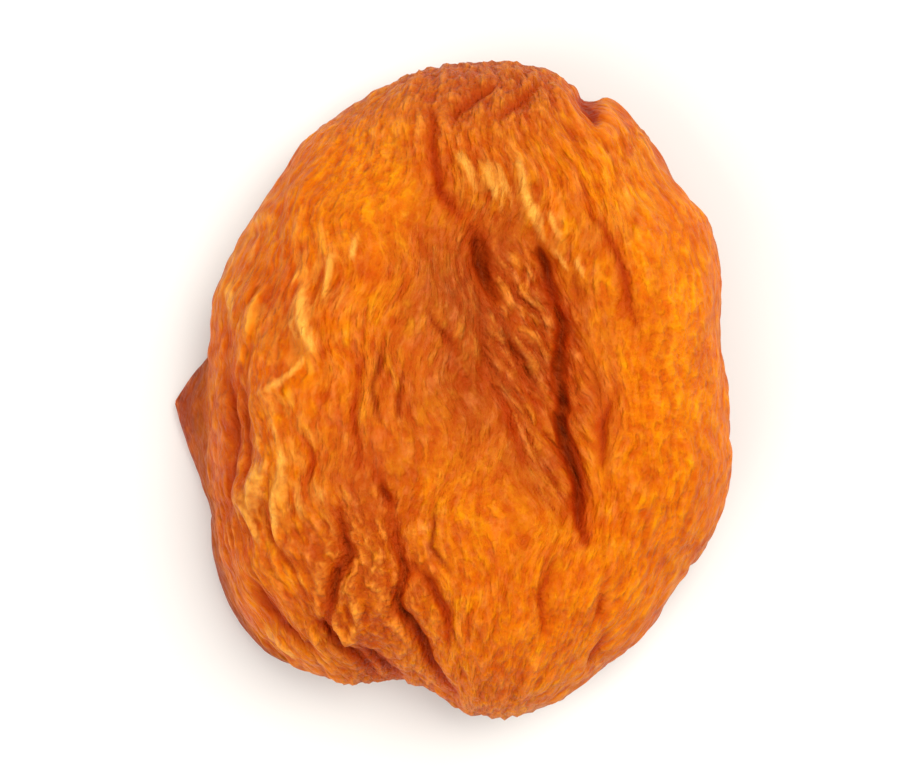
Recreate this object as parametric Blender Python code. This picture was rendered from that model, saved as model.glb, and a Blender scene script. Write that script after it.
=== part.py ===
"""A dried apricot half, with its skin up and its cut face down.

The stem end is at +Y and the tip at -Y. The half is one piece of skin and flesh: a low dome with
a long hollow where the skin has sunk over the place of the stone, folds and wrinkles that run from
the stem end to the tip, a rim that has curled under, and below it the cup that the stone left.
It starts as a sphere, which is laid on the half's profile and outline and then raised and sunk by
formulas. The origin is on the surface that the half lies on, under the middle of its box.
"""
import math

import bmesh
import bpy
import numpy as np
from mathutils import Vector, noise

MM = 0.001

# Driving sizes
HALF_LENGTH = 21.1 * MM
HALF_WIDTH = 16.9 * MM
HEIGHT = 12.9 * MM
GRID = 29                   # faces along each edge of the cube that is blown up to the sphere

# The edge of the skin seen from above, clockwise from the stem end, in millimetres
OUTLINE = [
    (0.5, 21.1), (3.6, 20.9), (6.5, 19.8), (7.7, 18.9), (9.2, 18.5), (11.3, 16.7), (13.5, 13.4),
    (15.5, 10.8), (16.3, 7.8), (16.4, 3.2), (16.9, -1.5), (16.9, -6.0), (16.0, -9.1), (13.8, -12.2),
    (11.3, -16.0), (8.2, -18.5), (5.1, -20.5), (2.5, -21.1), (-0.5, -20.7), (-2.3, -19.4),
    (-4.5, -18.8), (-7.3, -18.9), (-10.1, -18.1), (-12.6, -16.5), (-14.7, -14.0), (-15.8, -10.8),
    (-16.5, -5.0), (-16.5, 2.0), (-16.2, 5.3), (-15.0, 8.4), (-13.4, 11.4), (-11.9, 14.1),
    (-10.3, 16.2), (-8.1, 17.8), (-5.7, 19.3), (-2.6, 20.7),
]

# The profile from the top middle, over the side and the rim, to the middle of the cup's roof: share
# of the way, share of the outline's radius, millimetres inside the outline, share of the height
PROFILE = [
    (0.00, 0.00, 0.0, 0.97), (0.14, 0.33, 0.0, 1.00), (0.27, 0.62, 0.0, 0.95), (0.38, 0.82, 0.0, 0.79),
    (0.47, 0.95, 0.0, 0.56), (0.54, 1.00, 0.0, 0.31), (0.61, 1.00, 0.8, 0.10), (0.66, 1.00, 2.3, 0.00),
    (0.70, 1.00, 4.0, 0.06), (0.73, 1.00, 4.9, 0.19), (0.79, 0.60, 0.0, 0.42), (0.86, 0.44, 0.0, 0.63),
    (0.94, 0.20, 0.0, 0.69), (1.00, 0.00, 0.0, 0.70),
]
WIDEST = 0.54               # share of the way at which the half is widest
CONTACT = 0.66              # share of the way at which it meets the surface below
CUP_EDGE = 0.76             # share of the way at which the rim turns up into the cup

# The rim is lifted between three low places, which lie flat
RIM_LIFT = 0.9 * MM
RIM_SINK = 0.3 * MM         # how far the low places would sink in, if they weren't flattened
FIRST_LOW_PLACE = math.radians(75.0)

# The flap of the rim at the left and the lip below it, in degrees round the middle
FLAP_REACH = 2.7 * MM       # how far the flap stands out beyond the skin
FLAP_START = 170.0
FLAP_POINT = 182.5
FLAP_END = 212.0
FLAP_SHARPNESS = 0.7        # below 1 the sides of the flap bulge out
LIP = (196.0, 214.0, 232.0, 246.0)      # where the lip starts, is full, starts to fade and ends
LIP_SHARE = 0.5             # the lip's reach as a share of the flap's

# Long hollows over the place of the stone: depth, reach to the left and to the right, points along
# the deepest line from the stem end to the tip, all in millimetres
HOLLOWS = [
    (2.0, 5.6, 3.8, [(0.6, 12.6), (1.6, 8.5), (2.4, 4.0), (3.2, -0.5), (4.6, -5.0), (6.0, -9.0)]),
    (1.0, 3.4, 1.9, [(3.6, 8.4), (5.2, 5.4), (5.7, 1.5), (5.8, -3.0), (6.3, -6.8), (7.4, -10.0)]),
]

# Creases: depth, reach to the left and to the right, points from the stem end to the tip
CREASES = [
    (1.1, 0.6, 0.45, [(5.3, 6.0), (5.8, 1.7), (5.8, -2.2), (6.2, -4.6), (6.5, -6.6), (7.3, -9.4)]),
    (0.9, 0.5, 0.6, [(0.4, 9.8), (0.7, 7.7), (1.8, 5.5)]),
    (0.6, 0.4, 0.4, [(4.5, 8.7), (5.0, 7.0), (5.3, 5.7)]),
    (0.6, 0.5, 0.5, [(-2.2, 16.9), (-2.0, 14.1), (-1.6, 12.2), (0.0, 10.2)]),
    (0.5, 0.5, 0.6, [(7.0, 12.0), (8.4, 9.8), (9.3, 7.6), (9.9, 5.6), (10.8, 3.0)]),
    (0.5, 0.4, 0.4, [(8.9, 0.0), (8.2, -2.3), (8.3, -4.8)]),
    (0.9, 0.5, 0.4, [(-8.0, -7.6), (-7.4, -10.1), (-8.4, -11.9), (-8.9, -14.4)]),
    (0.9, 0.4, 0.4, [(-9.6, -14.3), (-7.7, -16.3), (-5.9, -18.4)]),
    (0.9, 0.4, 0.4, [(-4.6, -8.2), (-3.9, -11.2), (-4.2, -13.2), (-3.2, -15.4), (-2.1, -17.5),
                     (-1.3, -19.8)]),
    (0.6, 0.4, 0.4, [(-3.4, -10.6), (-2.4, -12.0), (-1.6, -14.0), (-1.2, -15.6)]),
    (0.5, 0.3, 0.3, [(-5.5, -5.6), (-4.8, -7.5)]),
    (0.7, 0.4, 0.4, [(-6.9, -15.9), (-5.5, -17.4), (-4.3, -18.6)]),
    (0.6, 0.4, 0.4, [(-15.2, 1.6), (-15.0, -3.5), (-15.2, -7.8)]),
    (0.5, 0.3, 0.3, [(-14.1, 0.2), (-14.1, -2.9), (-13.9, -5.4)]),
    (0.6, 0.4, 0.4, [(-13.9, -11.8), (-11.9, -14.8), (-9.6, -16.8)]),
    (0.4, 0.4, 0.4, [(8.6, -12.8), (8.3, -14.6)]),
    (0.4, 0.4, 0.4, [(8.8, -15.5), (7.8, -17.6)]),
    (0.5, 0.4, 0.4, [(1.7, 19.4), (0.5, 18.4), (-0.9, 17.0)]),
    (0.4, 0.4, 0.4, [(4.4, 19.6), (3.1, 18.0), (2.1, 16.5)]),
    (0.7, 0.5, 0.5, [(7.5, 19.3), (7.8, 18.0), (7.9, 16.6)]),
    (0.4, 0.5, 0.5, [(5.4, -11.0), (4.5, -13.0), (4.7, -14.8)]),
    (0.4, 0.3, 0.3, [(-10.2, -2.6), (-9.6, -4.6), (-9.9, -6.6)]),
    (0.4, 0.3, 0.3, [(-12.5, -7.2), (-12.0, -9.2), (-10.8, -11.6)]),
    (0.4, 0.3, 0.4, [(-6.6, 1.6), (-7.0, -1.4), (-6.5, -4.6)]),
    (0.4, 0.3, 0.3, [(2.6, 3.0), (3.9, 0.2), (4.6, -2.6)]),
    (0.4, 0.3, 0.3, [(0.6, 2.0), (2.4, -1.4), (3.6, -4.6)]),
]

# Ridges, in the same way, with their height first
RIDGES = [
    (0.6, 0.5, 0.6, [(-10.2, 6.2), (-9.9, 4.0), (-9.2, 2.0)]),
    (0.5, 0.4, 0.5, [(-8.2, 9.0), (-8.5, 6.7), (-8.8, 4.6)]),
    (0.4, 0.4, 0.5, [(-6.6, 10.0), (-7.1, 8.0)]),
    (0.4, 0.7, 0.7, [(-11.4, -2.4), (-11.5, -6.0), (-11.6, -9.8)]),
    (0.5, 0.5, 0.6, [(-13.0, -4.8), (-13.3, -7.6)]),
    (0.4, 0.4, 0.5, [(-13.9, -6.4), (-13.5, -8.6)]),
    (0.5, 0.4, 0.5, [(-0.4, 14.6), (0.0, 12.4)]),
    (0.5, 0.5, 0.6, [(1.4, 14.2), (1.7, 11.8)]),
    (0.6, 0.5, 0.6, [(3.2, 14.4), (3.7, 10.4)]),
    (0.2, 1.4, 2.6, [(5.2, 10.6), (7.6, 7.2), (8.4, 3.6), (8.6, -0.6), (8.7, -4.5), (9.0, -8.4)]),
    (0.5, 0.3, 0.3, [(-8.5, -13.2), (-8.3, -14.6), (-7.5, -15.5), (-6.7, -14.5), (-6.8, -13.1),
                     (-7.6, -12.4)]),
    (0.3, 0.6, 0.6, [(-5.9, -8.2), (-5.8, -11.5), (-5.4, -14.0)]),
    (0.4, 0.5, 0.5, [(-15.9, 4.4), (-14.6, 8.4), (-12.6, 12.0)]),
]
NARROWEST = 0.95 * MM       # creases and ridges are no narrower than this to each side
CREASE_SHARPNESS = 1.5      # 2 is a round groove, 1 a pinched one
RIDGE_SHARPNESS = 1.7
HOLLOW_SHARPNESS = 2.0
END_SHARPNESS = 0.6         # below 1 they keep their depth longer before they fade at the ends
ROOF_SHARE = 0.85           # how much of the skin's hollows shows in the roof of the cup
NARROWING = 1.12            # folds meet at this many half lengths, beyond the stem end and the tip

# The wrinkles of the skin: width across, in millimetres, and how high they stand
WRINKLES = [(3.6, 0.6), (1.8, 0.45)]
STRETCH = 2.6               # how much longer than wide the wrinkles are
MIDDLE_FOLD = 0.2           # the noise's mean height, which is taken off so that wrinkles add no bulk

# Slow noise over the skin and in the cup: reach, width along X and along Y, place in the noise
SWELLS = (0.7 * MM, 7.0 * MM, 9.0 * MM, 3.0)
CUP_SWELLS = (0.9 * MM, 3.2 * MM, 3.2 * MM, 31.0)
WAVER_ACROSS = (0.45 * MM, 2.6 * MM, 2.6 * MM, 11.0)
WAVER_DOWN = (0.45 * MM, 2.6 * MM, 2.6 * MM, 17.0)
WARP = (1.3 * MM, 5.0 * MM, 5.0 * MM, 23.0)
WAVE = (0.25 * MM, 1.8 * MM, 2.4 * MM, 41.0)
SMOOTHING = 0.35            # evens out folds that are finer than the mesh


def smooth_step(low, high, value):
    """0 up to low, 1 from high, and an even slope between them."""
    share = np.clip((value - low) / (high - low), 0.0, 1.0)
    return share * share * (3.0 - 2.0 * share)


def curve_through(places, values, at):
    """A smooth curve through values at rising places, read at other places."""
    slopes = np.gradient(values, places)
    index = np.clip(np.searchsorted(places, at) - 1, 0, len(places) - 2)
    span = places[index + 1] - places[index]
    share = (at - places[index]) / span
    rest = 1.0 - share
    start = values[index] * (1.0 + 2.0 * share) + slopes[index] * span * share
    end = values[index + 1] * (1.0 + 2.0 * rest) - slopes[index + 1] * span * rest
    return start * rest * rest + end * share * share


def outline_radius(angle):
    """How far the edge of the skin is from the middle, in each direction."""
    points = np.array(OUTLINE) * MM
    angles = np.arctan2(points[:, 1], points[:, 0])
    order = np.argsort(angles)
    angles = angles[order]
    radii = np.hypot(points[:, 0], points[:, 1])[order]
    turn = 2.0 * math.pi
    all_angles = np.concatenate((angles - turn, angles, angles + turn))
    return curve_through(all_angles, np.tile(radii, 3), angle)


def oval_radius(angle):
    """The same for the plain oval that the half grew as."""
    return 1.0 / np.hypot(np.cos(angle) / HALF_WIDTH, np.sin(angle) / HALF_LENGTH)


def profile_at(way):
    """Share of the radius, distance inside the outline and height at a share of the way."""
    table = np.array(PROFILE)
    share = curve_through(table[:, 0], table[:, 1], way)
    inside = curve_through(table[:, 0], table[:, 2], way) * MM
    height = curve_through(table[:, 0], table[:, 3], way) * HEIGHT
    return share, inside, height


def drawn_noise(x, y, z):
    """Smooth noise from -1 to 1 at each point, with hills about as wide as one unit."""
    z = np.broadcast_to(z, x.shape)
    return np.array([noise.noise(Vector(point)) for point in zip(x, y, z)])


def slow_noise(x, y, layer):
    """Noise as high and as wide as a layer says."""
    reach, across, down, place = layer
    return reach * drawn_noise(x / across, y / down, place)


def nearest_on_line(x, y, line):
    """How far each point is from a line, its side from -1 at the left to 1, and how far along it is."""
    points = np.array(line) * MM
    steps = np.diff(points, axis=0)
    lengths = np.hypot(steps[:, 0], steps[:, 1])
    runs = np.concatenate(([0.0], np.cumsum(lengths)))
    away = np.full(x.shape, np.inf)
    side = np.zeros(x.shape)
    along = np.zeros(x.shape)
    for point, step, length, run in zip(points, steps, lengths, runs):
        share = np.clip(((x - point[0]) * step[0] + (y - point[1]) * step[1]) / length ** 2, 0.0, 1.0)
        across_x = x - point[0] - share * step[0]
        across_y = y - point[1] - share * step[1]
        distance = np.hypot(across_x, across_y)
        nearer = distance < away
        away = np.where(nearer, distance, away)
        cross = (step[1] * across_x - step[0] * across_y) / (length * np.maximum(distance, 1e-9))
        side = np.where(nearer, cross, side)
        along = np.where(nearer, (run + share * length) / runs[-1], along)
    return away, side, along


def groove(x, y, depth, reach_left, reach_right, line, sharpness, narrowest=0.0):
    """A groove along a line, deepest at its middle, with a reach of its own to each side."""
    away, side, along = nearest_on_line(x, y, line)
    right = 0.5 + 0.5 * side
    reach = np.maximum(MM * (reach_left * (1.0 - right) + reach_right * right), narrowest)
    fade = np.sin(math.pi * (along * 0.88 + 0.06)) ** END_SHARPNESS
    return depth * MM * fade * np.exp(-((away / reach) ** sharpness))


def sunk_form(x, y):
    """Height of the large form over the plain dome: the hollows and the slow swells between them."""
    height = -sum(groove(x, y, *hollow, HOLLOW_SHARPNESS) for hollow in HOLLOWS)
    return height + slow_noise(x, y, SWELLS)


def folded_form(x, y):
    """Height of the creases and ridges, whose lines waver a little."""
    across = x + slow_noise(x, y, WAVER_ACROSS)
    down = y + slow_noise(x, y, WAVER_DOWN)
    height = -sum(groove(across, down, *crease, CREASE_SHARPNESS, NARROWEST) for crease in CREASES)
    return height + sum(groove(across, down, *ridge, RIDGE_SHARPNESS, NARROWEST) for ridge in RIDGES)


def meridian_places(x, y):
    """Places measured across the lines that run from the stem end to the tip."""
    reach = np.sqrt(np.clip(1.0 - (y / (NARROWING * HALF_LENGTH)) ** 2, 0.05, 1.0))
    return x / reach + slow_noise(x, y, WARP)


def wrinkles(x, y, z):
    """Height of the wrinkles: round backs with sharp valleys, drawn out from stem end to tip."""
    meridian = meridian_places(x, y) + slow_noise(x, y, WAVE)
    height = np.zeros(x.shape)
    for size, rise in WRINKLES:
        width = size * MM
        fold = np.abs(drawn_noise(meridian / width, y / (STRETCH * width), z / (1.6 * width)))
        height += rise * MM * (fold - MIDDLE_FOLD)
    return height


def rim_wave(angle):
    """How far the rim is lifted off the surface: three low places lie flat, below 0."""
    return RIM_LIFT * (0.5 - 0.5 * np.cos(3.0 * (angle - FIRST_LOW_PLACE))) - RIM_SINK


def flap_share(angle):
    """How far the rim turns outward, in each direction: a pointed flap at the left, a lip below it."""
    turned = np.degrees(angle) % 360.0
    rise = np.clip((turned - FLAP_START) / (FLAP_POINT - FLAP_START), 0.0, 1.0) ** FLAP_SHARPNESS
    fall = np.clip((FLAP_END - turned) / (FLAP_END - FLAP_POINT), 0.0, 1.0) ** FLAP_SHARPNESS
    lip = LIP_SHARE * smooth_step(*LIP[:2], turned) * (1.0 - smooth_step(*LIP[2:], turned))
    return np.maximum(np.minimum(rise, fall), lip)


def place_points(directions):
    """Lay points of the unit sphere on the half, without creases and wrinkles."""
    angle = np.arctan2(directions[:, 1], directions[:, 0])
    way = np.arccos(np.clip(directions[:, 2], -1.0, 1.0)) / math.pi
    share, inside, height = profile_at(way)
    edge = smooth_step(0.3, 0.95, share)
    radius = oval_radius(angle) * (1.0 - edge) + outline_radius(angle) * edge
    rim = smooth_step(WIDEST - 0.08, CONTACT, way) * (1.0 - smooth_step(CONTACT, CUP_EDGE, way))
    flap = smooth_step(WIDEST - 0.02, CONTACT - 0.04, way) * (1.0 - smooth_step(CONTACT, CUP_EDGE, way))
    flap *= flap_share(angle)
    radius = radius * share - inside * (1.0 - flap) + FLAP_REACH * flap
    x = radius * np.cos(angle)
    y = radius * np.sin(angle)
    on_skin = 1.0 - smooth_step(WIDEST - 0.12, WIDEST + 0.04, way)
    in_cup = smooth_step(CUP_EDGE, CUP_EDGE + 0.12, way)
    z = height + (on_skin + ROOF_SHARE * in_cup) * sunk_form(x, y) + rim * rim_wave(angle)
    return np.column_stack((x, y, z)), way


def set_points(mesh, points):
    """Move the mesh's points and work out its normals again."""
    for vertex, point in zip(mesh.verts, points):
        vertex.co = point
    mesh.normal_update()


def blown_cube():
    """A cube divided evenly and blown up to a sphere, with points in the middle of top and bottom."""
    mesh = bmesh.new()
    bmesh.ops.create_cube(mesh, size=2.0)
    bmesh.ops.subdivide_edges(mesh, edges=mesh.edges[:], cuts=GRID - 1, use_grid_fill=True)
    corners = np.array([vertex.co for vertex in mesh.verts])
    directions = np.tan(corners * math.pi / 4.0)
    directions /= np.linalg.norm(directions, axis=1)[:, None]
    return mesh, directions


def make_half():
    """The mesh of the half, skin and flesh in one."""
    mesh, directions = blown_cube()
    points, way = place_points(directions)
    set_points(mesh, points)
    normals = np.array([vertex.normal for vertex in mesh.verts])
    on_skin = 1.0 - smooth_step(WIDEST, CONTACT - 0.02, way)
    in_cup = smooth_step(CUP_EDGE, CUP_EDGE + 0.08, way)
    x, y, z = points.T
    relief = on_skin * (folded_form(x, y) + wrinkles(x, y, z))
    relief += in_cup * slow_noise(x, y, CUP_SWELLS)
    set_points(mesh, points + normals * relief[:, None])
    axes = {"use_axis_x": True, "use_axis_y": True, "use_axis_z": True}
    bmesh.ops.smooth_vert(mesh, verts=mesh.verts[:], factor=SMOOTHING, **axes)
    points = np.array([vertex.co for vertex in mesh.verts])
    points[:, 2] = np.maximum(points[:, 2], 0.0)
    points[:, :2] -= (points[:, :2].min(axis=0) + points[:, :2].max(axis=0)) / 2.0
    set_points(mesh, points)
    bmesh.ops.triangulate(mesh, faces=mesh.faces[:])
    return mesh


def skin_material():
    """Satin orange skin, slightly clear like leather."""
    material = bpy.data.materials.new("dried_apricot_skin")
    material.use_nodes = True
    shader = material.node_tree.nodes["Principled BSDF"]
    shader.inputs["Base Color"].default_value = (0.78, 0.19, 0.012, 1.0)
    shader.inputs["Roughness"].default_value = 0.42
    shader.inputs["Metallic"].default_value = 0.0
    return material


def main():
    for old in list(bpy.data.objects):
        bpy.data.objects.remove(old)
    collection = bpy.data.collections.new("dried_apricot_half")
    bpy.context.scene.collection.children.link(collection)
    mesh = make_half()
    data = bpy.data.meshes.new("apricot_half")
    mesh.to_mesh(data)
    mesh.free()
    data.shade_smooth()
    half = bpy.data.objects.new("apricot_half", data)
    half.data.materials.append(skin_material())
    collection.objects.link(half)


main()
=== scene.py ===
"""The looks of a dried apricot half: skin, folds, rolled rim, torn flesh and the stone's cup.

The CAD solid gives the place and the size. One finer piece takes its place, laid out by the same
formulas, and carries the fine wrinkles and grain that the solid leaves out. Masks that are worked
out with the shape, such as how deep a point lies in a crease, tell the material where the skin
turns red, dark or pale, and where painted shade and painted highlight go into its colour.
"""
import math

import bmesh
import bpy
import numpy as np
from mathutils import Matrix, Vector, noise


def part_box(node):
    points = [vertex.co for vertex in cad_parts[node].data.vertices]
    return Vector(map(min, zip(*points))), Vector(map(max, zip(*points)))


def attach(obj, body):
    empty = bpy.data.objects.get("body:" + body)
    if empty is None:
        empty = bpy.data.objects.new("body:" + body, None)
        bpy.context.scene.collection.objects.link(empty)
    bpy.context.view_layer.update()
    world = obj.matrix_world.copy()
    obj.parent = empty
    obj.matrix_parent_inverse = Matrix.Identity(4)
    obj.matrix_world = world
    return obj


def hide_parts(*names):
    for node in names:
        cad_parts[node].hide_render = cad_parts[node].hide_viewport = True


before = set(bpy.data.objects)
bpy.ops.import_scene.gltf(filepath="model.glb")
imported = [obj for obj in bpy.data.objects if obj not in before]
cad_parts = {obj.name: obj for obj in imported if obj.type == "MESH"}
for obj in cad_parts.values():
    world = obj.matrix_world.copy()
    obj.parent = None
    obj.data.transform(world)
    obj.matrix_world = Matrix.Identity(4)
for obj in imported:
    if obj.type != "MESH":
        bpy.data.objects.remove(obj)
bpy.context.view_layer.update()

MM = 0.001

# Driving sizes, as in the part's source
HALF_LENGTH = 21.1 * MM
HALF_WIDTH = 16.9 * MM
HEIGHT = 12.9 * MM
GRID = 126                  # faces along each edge of the cube that is blown up to the sphere

# The edge of the skin seen from above, clockwise from the stem end, in millimetres
OUTLINE = [
    (0.5, 21.1), (3.6, 20.9), (6.5, 19.8), (7.7, 18.9), (9.2, 18.5), (11.3, 16.7), (13.5, 13.4),
    (15.5, 10.8), (16.3, 7.8), (16.4, 3.2), (16.9, -1.5), (16.9, -6.0), (16.0, -9.1), (13.8, -12.2),
    (11.3, -16.0), (8.2, -18.5), (5.1, -20.5), (2.5, -21.1), (-0.5, -20.7), (-2.3, -19.4),
    (-4.5, -18.8), (-7.3, -18.9), (-10.1, -18.1), (-12.6, -16.5), (-14.7, -14.0), (-15.8, -10.8),
    (-16.5, -5.0), (-16.5, 2.0), (-16.2, 5.3), (-15.0, 8.4), (-13.4, 11.4), (-11.9, 14.1),
    (-10.3, 16.2), (-8.1, 17.8), (-5.7, 19.3), (-2.6, 20.7),
]

# The profile from the top middle, over the side and the rim, to the middle of the cup's roof: share
# of the way, share of the outline's radius, millimetres inside the outline, share of the height
PROFILE = [
    (0.00, 0.00, 0.0, 0.97), (0.14, 0.33, 0.0, 1.00), (0.27, 0.62, 0.0, 0.95), (0.38, 0.82, 0.0, 0.79),
    (0.47, 0.95, 0.0, 0.56), (0.54, 1.00, 0.0, 0.31), (0.61, 1.00, 0.8, 0.10), (0.66, 1.00, 2.3, 0.00),
    (0.70, 1.00, 4.0, 0.06), (0.73, 1.00, 4.9, 0.19), (0.79, 0.60, 0.0, 0.42), (0.86, 0.44, 0.0, 0.63),
    (0.94, 0.20, 0.0, 0.69), (1.00, 0.00, 0.0, 0.70),
]
WIDEST = 0.54               # share of the way at which the half is widest
CONTACT = 0.66              # share of the way at which it meets the surface below
CUP_EDGE = 0.76             # share of the way at which the rim turns up into the cup

# The rim is lifted between three low places, which lie flat
RIM_LIFT = 0.9 * MM
RIM_SINK = 0.3 * MM         # how far the low places would sink in, if they weren't flattened
FIRST_LOW_PLACE = math.radians(75.0)

# The flap of the rim at the left and the lip below it, in degrees round the middle
FLAP_REACH = 2.7 * MM       # how far the flap stands out beyond the skin
FLAP_START = 170.0
FLAP_POINT = 182.5
FLAP_END = 212.0
FLAP_SHARPNESS = 0.7        # below 1 the sides of the flap bulge out
LIP = (196.0, 214.0, 232.0, 246.0)      # where the lip starts, is full, starts to fade and ends
LIP_SHARE = 0.5             # the lip's reach as a share of the flap's

# Long hollows over the place of the stone: depth, reach to the left and to the right, points along
# the deepest line from the stem end to the tip, all in millimetres
HOLLOWS = [
    (2.0, 5.6, 3.8, [(0.6, 12.6), (1.6, 8.5), (2.4, 4.0), (3.2, -0.5), (4.6, -5.0), (6.0, -9.0)]),
    (1.0, 3.4, 1.9, [(3.6, 8.4), (5.2, 5.4), (5.7, 1.5), (5.8, -3.0), (6.3, -6.8), (7.4, -10.0)]),
]

# Creases: depth, reach to the left and to the right, points from the stem end to the tip
CREASES = [
    (1.1, 0.6, 0.45, [(5.3, 6.0), (5.8, 1.7), (5.8, -2.2), (6.2, -4.6), (6.5, -6.6), (7.3, -9.4)]),
    (0.9, 0.5, 0.6, [(0.4, 9.8), (0.7, 7.7), (1.8, 5.5)]),
    (0.6, 0.4, 0.4, [(4.5, 8.7), (5.0, 7.0), (5.3, 5.7)]),
    (0.6, 0.5, 0.5, [(-2.2, 16.9), (-2.0, 14.1), (-1.6, 12.2), (0.0, 10.2)]),
    (0.5, 0.5, 0.6, [(7.0, 12.0), (8.4, 9.8), (9.3, 7.6), (9.9, 5.6), (10.8, 3.0)]),
    (0.5, 0.4, 0.4, [(8.9, 0.0), (8.2, -2.3), (8.3, -4.8)]),
    (0.9, 0.5, 0.4, [(-8.0, -7.6), (-7.4, -10.1), (-8.4, -11.9), (-8.9, -14.4)]),
    (0.9, 0.4, 0.4, [(-9.6, -14.3), (-7.7, -16.3), (-5.9, -18.4)]),
    (0.9, 0.4, 0.4, [(-4.6, -8.2), (-3.9, -11.2), (-4.2, -13.2), (-3.2, -15.4), (-2.1, -17.5),
                     (-1.3, -19.8)]),
    (0.6, 0.4, 0.4, [(-3.4, -10.6), (-2.4, -12.0), (-1.6, -14.0), (-1.2, -15.6)]),
    (0.5, 0.3, 0.3, [(-5.5, -5.6), (-4.8, -7.5)]),
    (0.7, 0.4, 0.4, [(-6.9, -15.9), (-5.5, -17.4), (-4.3, -18.6)]),
    (0.6, 0.4, 0.4, [(-15.2, 1.6), (-15.0, -3.5), (-15.2, -7.8)]),
    (0.5, 0.3, 0.3, [(-14.1, 0.2), (-14.1, -2.9), (-13.9, -5.4)]),
    (0.6, 0.4, 0.4, [(-13.9, -11.8), (-11.9, -14.8), (-9.6, -16.8)]),
    (0.4, 0.4, 0.4, [(8.6, -12.8), (8.3, -14.6)]),
    (0.4, 0.4, 0.4, [(8.8, -15.5), (7.8, -17.6)]),
    (0.5, 0.4, 0.4, [(1.7, 19.4), (0.5, 18.4), (-0.9, 17.0)]),
    (0.4, 0.4, 0.4, [(4.4, 19.6), (3.1, 18.0), (2.1, 16.5)]),
    (0.7, 0.5, 0.5, [(7.5, 19.3), (7.8, 18.0), (7.9, 16.6)]),
    (0.4, 0.5, 0.5, [(5.4, -11.0), (4.5, -13.0), (4.7, -14.8)]),
    (0.4, 0.3, 0.3, [(-10.2, -2.6), (-9.6, -4.6), (-9.9, -6.6)]),
    (0.4, 0.3, 0.3, [(-12.5, -7.2), (-12.0, -9.2), (-10.8, -11.6)]),
    (0.4, 0.3, 0.4, [(-6.6, 1.6), (-7.0, -1.4), (-6.5, -4.6)]),
    (0.4, 0.3, 0.3, [(2.6, 3.0), (3.9, 0.2), (4.6, -2.6)]),
    (0.4, 0.3, 0.3, [(0.6, 2.0), (2.4, -1.4), (3.6, -4.6)]),
]

# Ridges, in the same way, with their height first
RIDGES = [
    (0.6, 0.5, 0.6, [(-10.2, 6.2), (-9.9, 4.0), (-9.2, 2.0)]),
    (0.5, 0.4, 0.5, [(-8.2, 9.0), (-8.5, 6.7), (-8.8, 4.6)]),
    (0.4, 0.4, 0.5, [(-6.6, 10.0), (-7.1, 8.0)]),
    (0.4, 0.7, 0.7, [(-11.4, -2.4), (-11.5, -6.0), (-11.6, -9.8)]),
    (0.5, 0.5, 0.6, [(-13.0, -4.8), (-13.3, -7.6)]),
    (0.4, 0.4, 0.5, [(-13.9, -6.4), (-13.5, -8.6)]),
    (0.5, 0.4, 0.5, [(-0.4, 14.6), (0.0, 12.4)]),
    (0.5, 0.5, 0.6, [(1.4, 14.2), (1.7, 11.8)]),
    (0.6, 0.5, 0.6, [(3.2, 14.4), (3.7, 10.4)]),
    (0.2, 1.4, 2.6, [(5.2, 10.6), (7.6, 7.2), (8.4, 3.6), (8.6, -0.6), (8.7, -4.5), (9.0, -8.4)]),
    (0.5, 0.3, 0.3, [(-8.5, -13.2), (-8.3, -14.6), (-7.5, -15.5), (-6.7, -14.5), (-6.8, -13.1),
                     (-7.6, -12.4)]),
    (0.3, 0.6, 0.6, [(-5.9, -8.2), (-5.8, -11.5), (-5.4, -14.0)]),
    (0.4, 0.5, 0.5, [(-15.9, 4.4), (-14.6, 8.4), (-12.6, 12.0)]),
]

# Fine creases that the solid leaves out, darkened with painted shade, with their depth first
FINE_CREASES = [
    (0.55, 0.35, 0.22, [(0.35, 9.5), (0.6, 7.6), (1.2, 6.6), (1.9, 5.8)]),
    (0.40, 0.25, 0.20, [(4.4, 8.8), (4.8, 7.6), (5.1, 6.5)]),
    (0.30, 0.18, 0.18, [(3.2, 5.9), (4.4, 4.6)]),
    (0.30, 0.18, 0.18, [(3.0, 2.7), (3.7, 1.6), (4.4, 0.2)]),
    (0.25, 0.18, 0.18, [(1.6, 4.6), (2.6, 3.2), (3.1, 1.4)]),
    (0.25, 0.18, 0.18, [(-2.5, 5.0), (-1.1, 2.6)]),
    (0.25, 0.18, 0.18, [(0.4, 4.4), (1.1, 2.4), (2.1, 0.6)]),
    (0.30, 0.20, 0.20, [(-5.6, -5.8), (-5.1, -6.9)]),
    (0.25, 0.18, 0.18, [(-5.4, 2.4), (-5.8, 0.2), (-5.5, -1.8)]),
    (0.25, 0.18, 0.18, [(-4.0, 1.2), (-4.5, -1.6)]),
    (0.25, 0.18, 0.18, [(-1.9, -7.2), (-2.3, -9.6), (-1.2, -11.4)]),
]

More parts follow.
